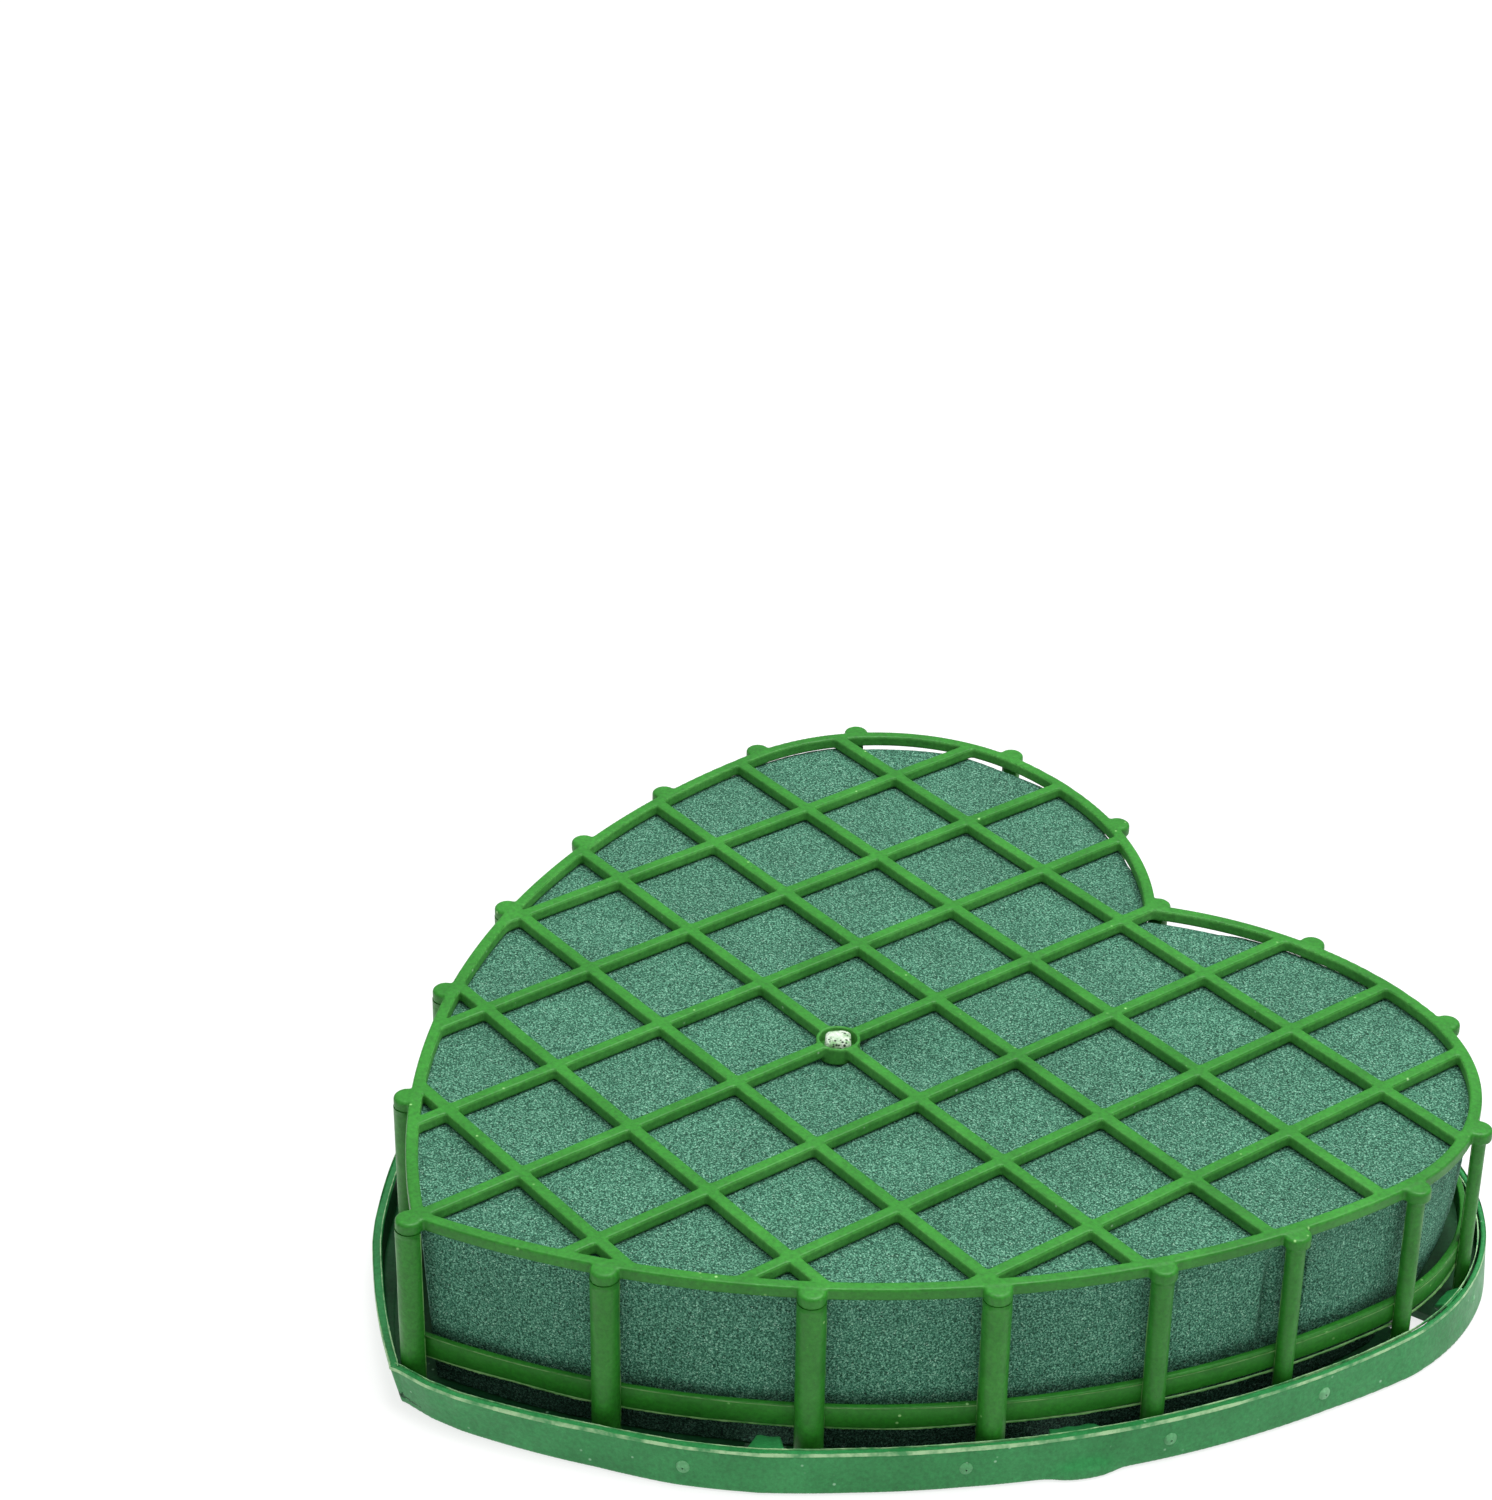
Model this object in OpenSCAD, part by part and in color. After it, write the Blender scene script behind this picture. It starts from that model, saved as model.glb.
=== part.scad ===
// Heart-shaped holder for floral foam: a shallow tray, a heart of foam standing in it,
// and a lattice cage that drops over the foam and clips into the tray.
// Millimetres. +Z is up, the notch of the heart is at +Y and its tip at -Y.
// The heart line is the line through the middles of the cage's posts, and every
// outline is that line moved out (plus) or in (minus) by a named distance.

/* [Heart line] */
// Width of the heart line, side to side
heart_w = 163; // [140:1:200]
// Length of the heart line below the middle of the grid, to the tip
tip_reach = 79.5; // [68:0.5:98]
// Distance of the notch above the middle of the grid
notch_reach = 68.2; // [60:0.1:76]
// Height of the lobes' centres above the middle of the grid
lobe_rise = 45.3; // [40:0.1:52]
// Radius of each lobe
lobe_r = 37.2; // [30:0.1:46]
// Direction in which a lobe hands over to the curve that runs to the notch
notch_join = 82; // [70:1:88]
// Direction in which a lobe hands over to the long flank
flank_join = -2; // [-10:1:4]

/* [Cage] */
// Spacing of the grid bars
grid_pitch = 20; // [16:0.5:26]
// Width of a grid bar
bar_w = 2; // [1.6:0.1:3]
// Depth of the bars and the top rim
bar_h = 2; // [1.6:0.1:3.5]
// Thickness of the top rim
rim_t = 1.9; // [1.4:0.1:3]
// How far the middle of the rim lies inside the heart line
rim_inset = 1.4; // [1:0.1:3]
// Width of the slim posts around the lobes
slim_post_w = 3.2; // [2.4:0.1:4]
// Width of the stout posts around the tip
stout_post_w = 4.4; // [3.6:0.1:5]
// Diameter of a post's cap
cap_d = 4.2; // [3.4:0.1:5]
// Thickness of the mid band
band_t = 1; // [0.8:0.1:1.6]
// How far the outside of the mid band lies inside the heart line
band_inset = 0.65; // [0.5:0.05:1.2]
// Height of the mid band
mid_band_h = 3.8; // [2:0.1:6]
// Depth of the mid band's upper edge below the top of the rim
mid_band_drop = 21.7; // [10:0.1:23]
// Overall height of the cage, foot to rim
cage_h = 31.3; // [29:0.1:45]

/* [Centre boss] */
// Outer diameter of the cup
boss_d = 7; // [6:0.1:9]
// Wall of the cup
boss_wall = 0.5; // [0.4:0.1:1]
// Overall height of the cup
boss_h = 3; // [2:0.1:5]
// Thickness of the cup's floor
boss_floor = 0.8; // [0.6:0.1:1.2]
// Diameter of the gate stub in the cup
stub_d = 4.5; // [3:0.1:5]
// How far the gate stub stops below the cup's lip
stub_drop = 0.1; // [0:0.1:1]

/* [Tray] */
// Height of the tray's wall above the underside of its floor
wall_h = 7.5; // [6.5:0.1:12]
// Thickness of the tray's wall
wall_t = 1.5; // [1.2:0.1:2.4]
// Thickness of the tray's floor
floor_t = 1.6; // [1:0.1:2.5]
// Gap between the slim posts and the inside of the wall, at the top of the lobes
post_gap = 0.3; // [0.3:0.1:2]
// How far the tray's outline is moved towards the tip from the cage's
tray_shift = 1; // [0:0.1:3]
// Clearance between the tray's floor and what stands on it
seat_gap = 0.3; // [0.2:0.05:0.6]
// Length of a pad on the foot of the wall
pad_len = 8; // [4:0.5:12]
// Height of a pad
pad_h = 3; // [1:0.1:4]
// How far a pad stands out from the wall
pad_out = 1.2; // [0.5:0.1:2]

/* [Snap lugs] */
// Length of a lug along the wall
lug_len = 6.2; // [4:0.1:9]
// Thickness of a lug where it joins the wall
lug_t = 2.2; // [1.5:0.1:3]
// Drop of a lug's upper face from the wall to its inner end
lug_fall = 1.4; // [0:0.1:1.4]
// Clearance between a lug and the cage, whose outside it follows
lug_gap = 0.3; // [0.2:0.05:1]
// Length of the floor window under a lug
window_len = 6.6; // [4:0.1:9]
// Reach of the window, inward from the wall
window_w = 7.6; // [3:0.1:9]

/* [Foam] */
// Clearance between the foam's side and the mid band
foam_side_gap = 0.3; // [0.2:0.05:1]
// Clearance between the foam's top and the bars
foam_top_gap = 0.3; // [0.2:0.05:1]

/* [Hidden] */
$fn = 48;

// Angle step of the outline's arcs
arc_steps = 26;
// Bars on each side of the middle one
side_bars = 3;
// Posts on one half of the heart, as shares of the half line from notch to tip
slim_sites = [0.103, 0.216, 0.329, 0.403, 0.489, 0.572];
stout_sites = [0.666, 0.767, 0.8815];
// Snap lugs, each over a floor window, the pads on the wall's foot and the moulding nubs
// on the wall's outside, as shares of the half line
lug_sites = [0.16, 0.362, 0.619, 0.7895];
pad_sites = [0.16, 0.612];
pip_sites = [0.06, 0.22, 0.338, 0.4645, 0.5625, 0.6785, 0.8305];
pip_d = 1.9;
pip_out = 0.5;

// Heights
cage_z = floor_t + seat_gap;
rim_top = cage_z + cage_h;
bar_z = rim_top - bar_h;
foam_top = bar_z - foam_top_gap;
// Distances from the heart line
rim_in = -rim_inset - rim_t / 2;
rim_out = -rim_inset + rim_t / 2;
band_out = -band_inset;
band_in = band_out - band_t;
foam_edge = band_in - foam_side_gap;
wall_in = slim_post_w / 2 + post_gap + tray_shift;
wall_out = wall_in + wall_t;

// The heart line is three arcs on each side, each tangent to the next:
// notch arc, lobe, flank. Arc radii follow from the points the line must meet.
function ray(a) = [cos(a), sin(a)];
lobe_c = [heart_w / 2 - lobe_r, lobe_rise];
function meet_r(goal, a) =
    let (d = goal - lobe_c, k = d * ray(a))
    (d * d - 2 * lobe_r * k + lobe_r * lobe_r) / (2 * lobe_r - 2 * k);
notch_r = meet_r([0, notch_reach], notch_join);
flank_r = meet_r([0, -tip_reach], flank_join);
notch_c = lobe_c + (lobe_r - notch_r) * ray(notch_join);
flank_c = lobe_c + (lobe_r - flank_r) * ray(flank_join);
function notch_a(out) = acos(-notch_c[0] / (notch_r + out));
function tip_a(out) = -acos(-flank_c[0] / (flank_r + out));

// Right half of an outline, from notch to tip
function arc_pts(c, r, a, b) =
    [for (i = [0:arc_steps - 1]) c + r * ray(a + (b - a) * i / arc_steps)];
function half_pts(out) = concat(
    arc_pts(notch_c, notch_r + out, notch_a(out), notch_join),
    arc_pts(lobe_c, lobe_r + out, notch_join, flank_join),
    arc_pts(flank_c, flank_r + out, flank_join, tip_a(out)),
    [[0, flank_c[1] + (flank_r + out) * sin(tip_a(out))]]);
function flip(p) = [-p[0], p[1]];
function outline(out) = let (h = half_pts(out), n = len(h))
    concat(h, [for (i = [n - 2:-1:1]) flip(h[i])]);

// Place and facing of a point at a share of the half line
len_notch = notch_r * (notch_a(0) - notch_join) * PI / 180;
len_lobe = lobe_r * (notch_join - flank_join) * PI / 180;
len_flank = flank_r * (flank_join - tip_a(0)) * PI / 180;
half_len = len_notch + len_lobe + len_flank;
function facing(share) = let (s = share * half_len)
    s < len_notch ? notch_a(0) - s / notch_r * 180 / PI :
    s < len_notch + len_lobe ? notch_join - (s - len_notch) / lobe_r * 180 / PI :
    flank_join - (s - len_notch - len_lobe) / flank_r * 180 / PI;
function place(share, out = 0) = let (s = share * half_len, a = facing(share))
    s < len_notch ? notch_c + (notch_r + out) * ray(a) :
    s < len_notch + len_lobe ? lobe_c + (lobe_r + out) * ray(a) :
    flank_c + (flank_r + out) * ray(a);

// The whole part is centred on the middle of the tray's length
tray_top_y = notch_c[1] + notch_r + wall_out - tray_shift;
tray_tip_y = flank_c[1] + (flank_r + wall_out) * sin(tip_a(wall_out)) - tray_shift;
mid_y = (tray_top_y + tray_tip_y) / 2;

module heart(out, shift = 0) {
    translate([0, -shift - mid_y]) polygon(outline(out));
}

module ring(out, in, shift = 0) {
    difference() {
        heart(out, shift);
        heart(in, shift);
    }
}

// Puts children at a share of the line on both halves, +X facing out
module at_site(share, out = 0, shift = 0) {
    p = place(share, out);
    for (side = [0, 1]) {
        translate([0, -shift - mid_y, 0]) mirror([side, 0, 0])
            translate([p[0], p[1], 0]) rotate(facing(share)) children();
    }
}

// All posts in plan, with a width for each kind; the two end posts stand on the axis
module post_plan(slim_w, stout_w) {
    for (share = slim_sites) {
        at_site(share) circle(d = slim_w);
    }
    for (share = stout_sites) {
        at_site(share) circle(d = stout_w);
    }
    translate([0, notch_reach - mid_y]) circle(d = slim_w);
    translate([0, -tip_reach - mid_y]) circle(d = stout_w);
}

module bar_field(along) {
    far = heart_w + 2 * tip_reach;
    for (i = [-side_bars:side_bars]) {
        translate([0, -mid_y]) rotate(along) translate([0, i * grid_pitch])
            square([far, bar_w], center = true);
    }
}

// Distance from the heart line out to the inside of the tray's wall
function moat(share) =
    (place(share, wall_in) - place(share) - [0, tray_shift]) * ray(facing(share));

module tray_floor() {
    color("seagreen") difference() {
        linear_extrude(floor_t) heart(wall_in, tray_shift);
        for (share = lug_sites) {
            at_site(share, moat(share) - window_w / 2) translate([0, 0, floor_t / 2])
                cube([window_w, window_len, 2 * floor_t], center = true);
        }
    }
}

module tray_wall() {
    color("seagreen") linear_extrude(wall_h) ring(wall_out, wall_in, tray_shift);
}

// A lug reaches from the top of the wall to just short of the cage
module lug(share) {
    start = band_out + lug_gap;
    depth = moat(share) - start + wall_t / 2;
    at_site(share, start) translate([0, lug_len / 2, wall_h]) rotate([90, 0, 0])
        linear_extrude(lug_len)
            polygon([[0, -lug_t], [depth, -lug_t], [depth, 0], [0, -lug_fall]]);
}

module snap_lugs() {
    color("darkgreen") difference() {
        for (share = lug_sites) {
            lug(share);
        }
        linear_extrude(2 * wall_h) ring(wall_out + wall_t, wall_in, tray_shift);
    }
}

module wall_pips() {
    color("seagreen") difference() {
        for (share = pip_sites) {
            at_site(share, wall_out - pip_d, tray_shift)
                translate([0, 0, wall_h / 2]) rotate([0, 90, 0])
                    cylinder(d = pip_d, h = pip_d + pip_out);
        }
        linear_extrude(wall_h) heart(wall_out, tray_shift);
    }
}

module edge_pads() {
    color("seagreen") difference() {
        for (share = pad_sites) {
            at_site(share, wall_out, tray_shift) translate([0, 0, pad_h / 2])
                cube([2 * pad_out, pad_len, pad_h], center = true);
        }
        linear_extrude(wall_h) heart(wall_out, tray_shift);
    }
}

// The foam has a shallow hollow under the cup
module foam_heart() {
    hollow_z = rim_top - boss_h - foam_top_gap;
    color("mediumaquamarine") difference() {
        translate([0, 0, cage_z]) linear_extrude(foam_top - cage_z) heart(foam_edge);
        translate([0, -mid_y, hollow_z]) cylinder(d = boss_d + 2 * foam_side_gap, h = boss_h);
    }
}

module top_rim() {
    color("limegreen") translate([0, 0, bar_z]) linear_extrude(bar_h) ring(rim_out, rim_in);
}

module cross_bars() {
    color("limegreen") translate([0, 0, bar_z]) linear_extrude(bar_h) difference() {
        intersection() {
            bar_field(0);
            heart(rim_in);
        }
        translate([0, -mid_y]) circle(d = boss_d);
    }
}

module long_bars() {
    color("limegreen") translate([0, 0, bar_z]) linear_extrude(bar_h) difference() {
        intersection() {
            bar_field(90);
            heart(rim_in);
        }
        bar_field(0);
        translate([0, -mid_y]) circle(d = boss_d);
    }
}

module centre_boss() {
    color("limegreen") translate([0, -mid_y, rim_top - boss_h]) difference() {
        cylinder(d = boss_d, h = boss_h);
        translate([0, 0, boss_floor]) cylinder(d = boss_d - 2 * boss_wall, h = boss_h);
    }
}

module gate_stub() {
    color("honeydew") translate([0, -mid_y, rim_top - boss_h + boss_floor])
        cylinder(d = stub_d, h = boss_h - boss_floor - stub_drop);
}

// Half-round shafts, flat against the mid band, each under a cap beside the rim
module posts() {
    color("forestgreen") {
        translate([0, 0, cage_z]) linear_extrude(cage_h - bar_h) difference() {
            post_plan(slim_post_w, stout_post_w);
            heart(band_out);
        }
        translate([0, 0, bar_z]) linear_extrude(bar_h) difference() {
            post_plan(cap_d, cap_d);
            heart(rim_out);
        }
    }
}

module mid_band() {
    color("forestgreen") translate([0, 0, rim_top - mid_band_drop - mid_band_h])
        linear_extrude(mid_band_h) ring(band_out, band_in);
}

tray_floor();
tray_wall();
snap_lugs();
wall_pips();
edge_pads();
foam_heart();
top_rim();
cross_bars();
long_bars();
centre_boss();
gate_stub();
posts();
mid_band();
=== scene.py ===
import math

import bpy
import numpy as np
from mathutils import Matrix, Vector


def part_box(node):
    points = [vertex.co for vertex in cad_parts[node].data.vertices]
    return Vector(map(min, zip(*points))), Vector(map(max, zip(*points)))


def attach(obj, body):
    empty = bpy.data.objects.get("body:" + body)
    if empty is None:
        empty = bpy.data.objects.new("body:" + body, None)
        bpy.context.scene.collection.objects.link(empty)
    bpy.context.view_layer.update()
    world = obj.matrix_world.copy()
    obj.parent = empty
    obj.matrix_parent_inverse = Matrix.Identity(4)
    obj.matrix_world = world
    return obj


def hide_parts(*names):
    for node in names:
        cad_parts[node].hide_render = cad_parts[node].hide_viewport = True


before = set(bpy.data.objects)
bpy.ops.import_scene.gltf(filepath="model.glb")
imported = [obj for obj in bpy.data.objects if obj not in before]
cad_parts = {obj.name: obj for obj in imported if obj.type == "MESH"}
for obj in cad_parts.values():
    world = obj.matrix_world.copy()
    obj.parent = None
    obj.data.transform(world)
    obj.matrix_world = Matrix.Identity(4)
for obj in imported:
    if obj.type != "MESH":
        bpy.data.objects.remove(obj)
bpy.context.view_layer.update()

# Shapes are worked out in millimetres in the frame's axes and written to meshes in metres.
MM = 0.001


def mm_box(node):
    low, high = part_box(node)
    return np.array(low) / MM, np.array(high) / MM


# ---------------------------------------------------------------- sizes from the frame
rim_low, rim_high = mm_box("top_rim")
band_low, band_high = mm_box("mid_band")
foam_low, foam_high = mm_box("foam_heart")
wall_low, wall_high = mm_box("tray_wall")
boss_low, boss_high = mm_box("centre_boss")
stub_low, stub_high = mm_box("gate_stub")

TOP_Z = rim_high[2]
BAR_Z = rim_low[2]
CAGE_Z = mm_box("posts")[0][2]
FLOOR_T = mm_box("tray_floor")[1][2]
WALL_H = wall_high[2]
MID = np.array([0.0, (boss_low[1] + boss_high[1]) / 2])

# The heart line, as in the part's source: three arcs on each side, each tangent to the next.
# Names in OUT, IN and MID are distances from that line, outward.
PITCH = 20.0
SIDE_BARS = 3
HEART_W = 163.0
TIP = 79.5
NOTCH = 68.2
LOBE_RISE = 45.3
LOBE_R = 37.2
NOTCH_JOIN = 82.0
FLANK_JOIN = -2.0
RIM_T = 1.9
RIM_MID = -1.4
BAR_W = 2.0
BAND_OUT = -0.65
BAND_IN = -1.65
TRAY_SHIFT = 1.0
WALL_IN = 2.9
WALL_OUT = 4.4
CAP_D = 4.2
# Radius of the tray's corner at the tip
TIP_ROUND = 2.0


def ray(degrees):
    a = math.radians(degrees)
    return np.array([math.cos(a), math.sin(a)])


LOBE_C = np.array([HEART_W / 2 - LOBE_R, LOBE_RISE])


def meeting_radius(goal, degrees):
    d = goal - LOBE_C
    k = d @ ray(degrees)
    return (d @ d - 2 * LOBE_R * k + LOBE_R ** 2) / (2 * LOBE_R - 2 * k)


NOTCH_R = meeting_radius(np.array([0, NOTCH]), NOTCH_JOIN)
FLANK_R = meeting_radius(np.array([0, -TIP]), FLANK_JOIN)
NOTCH_C = LOBE_C + (LOBE_R - NOTCH_R) * ray(NOTCH_JOIN)
FLANK_C = LOBE_C + (LOBE_R - FLANK_R) * ray(FLANK_JOIN)
NOTCH_A = math.degrees(math.acos(-NOTCH_C[0] / NOTCH_R))
TIP_A = -math.degrees(math.acos(-FLANK_C[0] / FLANK_R))
ARCS = [(NOTCH_C, NOTCH_R, NOTCH_A, NOTCH_JOIN), (LOBE_C, LOBE_R, NOTCH_JOIN, FLANK_JOIN),
        (FLANK_C, FLANK_R, FLANK_JOIN, TIP_A)]
ARC_LEN = [r * math.radians(a - b) for _, r, a, b in ARCS]
HALF_LEN = sum(ARC_LEN)


def place(share, out=0.0, shift=0.0):
    """Point on the right half, and the direction it faces, at a share of the way from notch to tip."""
    s = share * HALF_LEN
    for (c, r, a, b), length in zip(ARCS, ARC_LEN):
        if s <= length or b == TIP_A:
            break
        s -= length
    facing = a - math.degrees(s / r)
    return c + (r + out) * ray(facing) + MID - [0, shift], facing


def corner_loop(out, shift=0.0, tip_round=0.3, notch_round=0.3, step=0.5):
    """Whole outline at a distance from the heart line, with rounded corners at notch and tip."""
    rf = FLANK_R + out - tip_round
    tip_c = np.array([0, FLANK_C[1] - math.sqrt(rf ** 2 - FLANK_C[0] ** 2)])
    tip_join = math.degrees(math.atan2(*(tip_c - FLANK_C)[::-1]))
    rn = NOTCH_R + out + notch_round
    notch_c = np.array([0, NOTCH_C[1] + math.sqrt(rn ** 2 - NOTCH_C[0] ** 2)])
    notch_join = math.degrees(math.atan2(*(notch_c - NOTCH_C)[::-1]))
    counts = [5] + [int(round(n / step)) for n in ARC_LEN] + [7]
    runs = [(notch_c, notch_round, -90.0, notch_join - 180.0, counts[0]),
            (NOTCH_C, NOTCH_R + out, notch_join, NOTCH_JOIN, counts[1]),
            (LOBE_C, LOBE_R + out, NOTCH_JOIN, FLANK_JOIN, counts[2]),
            (FLANK_C, FLANK_R + out, FLANK_JOIN, tip_join, counts[3]),
            (tip_c, tip_round, tip_join, -90.0, counts[4])]
    pts = []
    for c, r, a, b, n in runs:
        t = np.radians(a + (b - a) * np.arange(n) / n)
        pts.append(np.c_[c[0] + r * np.cos(t), c[1] + r * np.sin(t)])
    pts.append([[0, tip_c[1] - tip_round]])
    half = np.concatenate(pts)
    left = half[-2:0:-1] * [-1, 1]
    return np.concatenate([half, left]) + MID - [0, shift]


def heart_field(x, y, shift=0.0):
    """Signed distance to the heart line, negative inside, and the share of the half line
    beside each point."""
    x = np.abs(x)
    y = y - MID[1] + shift
    best = -np.hypot(x, y - NOTCH)
    share = np.zeros_like(best)
    before = 0.0
    for k, ((c, r, a, b), length) in enumerate(zip(ARCS, ARC_LEN)):
        vx, vy = x - c[0], y - c[1]
        angle = np.degrees(np.arctan2(vy, vx))
        d = np.hypot(vx, vy) - r
        use = (angle <= a) & ((angle >= b) | (k == 2)) & (np.abs(d) < np.abs(best))
        best = np.where(use, d, best)
        share = np.where(use, (before + r * np.radians(a - angle)) / HALF_LEN, share)
        before += length
    return best, np.clip(share, 0, 1)


def heart_distance(x, y, shift=0.0):
    return heart_field(x, y, shift)[0]


def read(table, share):
    """Value at each share of a table of (share of the half line, value)."""
    return np.interp(share, *zip(*table))


def read_sides(right, left, x, share):
    return np.where(x >= 0, read(right, share), read(left, share))


# The tray has taken a set in use: how far its wall stands out from the true outline,
# on the right and on the left
SET_RIGHT = [(0, 0), (0.1, 0), (0.2, -0.4), (0.3, -0.8), (0.38, -1.1), (0.5, -1.2), (0.6, -1.1),
             (0.68, -0.9), (0.74, -0.3), (0.79, 0.6), (0.83, 0.6), (0.88, 0), (0.96, 0.2), (0.98, -0.2),
             (1, -1.25)]
SET_LEFT = [(0, 0), (0.5, 0), (0.65, 0.5), (0.8, 1.2), (0.87, 1.1), (0.89, 0.9), (0.92, 0.2), (0.96, -0.5),
            (1, -1.25)]


def wall_set(x, share):
    return read_sides(SET_RIGHT, SET_LEFT, x, share)


# How far the foot of the wall's outside stands out from its top
FLARE_RIGHT = [(0, 0), (0.25, 0), (0.32, 0.7), (0.4, 0.7), (0.46, 0), (0.84, 0), (0.92, -0.8), (1, -1.6)]
FLARE_LEFT = [(0, 0), (0.9, 0), (0.94, -0.6), (1, -1.6)]


def wall_flare(x, share):
    return read_sides(FLARE_RIGHT, FLARE_LEFT, x, share)


# Reach of a post beyond the heart line, with a little to spare, and the gap kept from it
POST_REACH = [(0, 1.75), (0.6, 1.8), (0.65, 2.25), (1, 2.25)]
POST_CLEAR = 0.35


def inner_set(x, share):
    """The same for the inside of the wall, which stays clear of the posts."""
    tilt = read([(k / 40, ray(place(k / 40)[1])[1]) for k in range(41)], share)
    room = WALL_IN - TRAY_SHIFT * tilt - read(POST_REACH, share) - POST_CLEAR
    return np.maximum(wall_set(x, share), -room)


def set_loop(loop):
    """Moves a loop round the tray by the wall's set."""
    share = heart_field(loop[:, 0], loop[:, 1], TRAY_SHIFT)[1]
    ahead, behind = np.roll(loop, -1, 0), np.roll(loop, 1, 0)
    along = ahead - behind
    normal = np.c_[-along[:, 1], along[:, 0]] / np.hypot(*along.T)[:, None]
    return loop + normal * wall_set(loop[:, 0], share)[:, None]


# ---------------------------------------------------------------- mesh helpers
def mesh_object(name, verts, faces, smooth=True):
    mesh = bpy.data.meshes.new(name)
    mesh.from_pydata((np.asarray(verts) * MM).tolist(), [], [list(map(int, f)) for f in faces])
    mesh.validate()
    mesh.update()
    if smooth:
        mesh.polygons.foreach_set("use_smooth", [True] * len(mesh.polygons))
    obj = bpy.data.objects.new(name, mesh)
    bpy.context.scene.collection.objects.link(obj)
    return obj


def face_data(obj):
    """Middle in millimetres and normal of each face."""
    faces = obj.data.polygons
    centre, normal = np.empty(len(faces) * 3, np.float32), np.empty(len(faces) * 3, np.float32)
    faces.foreach_get("center", centre)
    faces.foreach_get("normal", normal)
    return centre.reshape(-1, 3) / MM, normal.reshape(-1, 3)


def second_material(obj, material, chosen):
    """Gives the chosen faces a material of their own."""
    obj.data.materials.append(material)
    obj.data.polygons.foreach_set("material_index", chosen.astype(np.int32))


def grid_faces(rows, cols, close_rows=False):
    """Faces between rows of points, each row a closed loop."""
    a, b = np.meshgrid(np.arange(rows if close_rows else rows - 1), np.arange(cols), indexing="ij")
    a2, b2 = (a + 1) % rows, (b + 1) % cols
    return np.stack([a * cols + b, a2 * cols + b, a2 * cols + b2, a * cols + b2], -1).reshape(-1, 4)


def capped_faces(rows, cols):
    """The same as lists, with the first and the last row closed by a face."""
    last = (rows - 1) * cols
    return grid_faces(rows, cols).tolist() + [list(range(last, last + cols)), list(range(cols))[::-1]]


def smooth_noise(n, wave, seed):
    """Closed noise along n stations, about `wave` stations from one bump to the next, within -1..1."""
    r = np.random.default_rng(seed)
    knots = max(4, int(round(n / wave)))
    v = r.uniform(-1, 1, knots)
    t = np.arange(n) * knots / n
    i = np.floor(t).astype(int)
    f = t - i
    f = f * f * (3 - 2 * f)
    return v[i % knots] * (1 - f) + v[(i + 1) % knots] * f


class Field:
    """A block of signed distances, from which a closed surface is drawn."""

    def __init__(self, low, high, step):
        self.low = np.array(low, float)
        self.step = step
        self.shape = tuple(int(math.ceil((h - l) / step)) + 1 for l, h in zip(low, high))
        self.value = np.full(self.shape, 9.0, np.float32)
        self.axes = [self.low[i] + step * np.arange(self.shape[i]) for i in range(3)]

    def block(self, low, high):
        """The part of the block between two corners: its slices and its coordinates."""
        cut = []
        for i in range(3):
            a = int(np.searchsorted(self.axes[i], low[i]))
            b = int(np.searchsorted(self.axes[i], high[i]))
            cut.append(slice(max(a - 1, 0), min(b + 1, self.shape[i])))
        x, y, z = (self.axes[i][cut[i]] for i in range(3))
        return tuple(cut), x[:, None, None], y[None, :, None], z[None, None, :]

    def surface(self):
        """Points, one in each cell that the surface crosses, and faces, one round each crossed edge."""
        v = self.value
        inside = v < 0
        nx, ny, nz = v.shape
        corners = [(i, j, k) for i in (0, 1) for j in (0, 1) for k in (0, 1)]
        count = np.zeros((nx - 1, ny - 1, nz - 1), np.int8)
        for i, j, k in corners:
            count += inside[i:nx - 1 + i, j:ny - 1 + j, k:nz - 1 + k]
        cells = (count > 0) & (count < 8)
        index = np.argwhere(cells)
        ids = np.full(cells.shape, -1, np.int64)
        ids[cells] = np.arange(len(index))
        total = np.zeros((len(index), 3))
        found = np.zeros(len(index))
        for a in corners:
            for axis in range(3):
                if a[axis]:
                    continue
                b = list(a)
                b[axis] = 1
                va = v[index[:, 0] + a[0], index[:, 1] + a[1], index[:, 2] + a[2]]
                vb = v[index[:, 0] + b[0], index[:, 1] + b[1], index[:, 2] + b[2]]
                cross = (va < 0) != (vb < 0)
                t = va[cross] / (va[cross] - vb[cross])
                p = np.tile(np.array(a, float), (cross.sum(), 1))
                p[:, axis] = t
                total[cross] += p
                found[cross] += 1
        verts = self.low + self.step * (index + total / found[:, None])
        faces = []
        for axis in range(3):
            u, w = [i for i in range(3) if i != axis]
            first = [slice(None)] * 3
            second = [slice(None)] * 3
            first[axis] = slice(0, -1)
            second[axis] = slice(1, None)
            for s in (u, w):
                first[s] = second[s] = slice(1, -1)
            lo, hi = inside[tuple(first)], inside[tuple(second)]
            at = np.argwhere(lo != hi)
            lead = lo[lo != hi]
            at[:, u] += 1
            at[:, w] += 1
            quad = []
            for du, dw in ((1, 1), (0, 1), (0, 0), (1, 0)):
                c = at.copy()
                c[:, u] -= du
                c[:, w] -= dw
                quad.append(ids[c[:, 0], c[:, 1], c[:, 2]])
            quad = np.stack(quad, -1)
            turn = lead if axis != 1 else ~lead
            quad[~turn] = quad[~turn][:, ::-1]
            faces.append(quad)
        return verts, np.concatenate(faces)


def smooth_min(a, b, k):
    h = np.clip(0.5 + 0.5 * (b - a) / k, 0, 1)
    return b + (a - b) * h - k * h * (1 - h)


def smooth_max(a, b, k):
    return -smooth_min(-a, -b, k)


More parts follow.
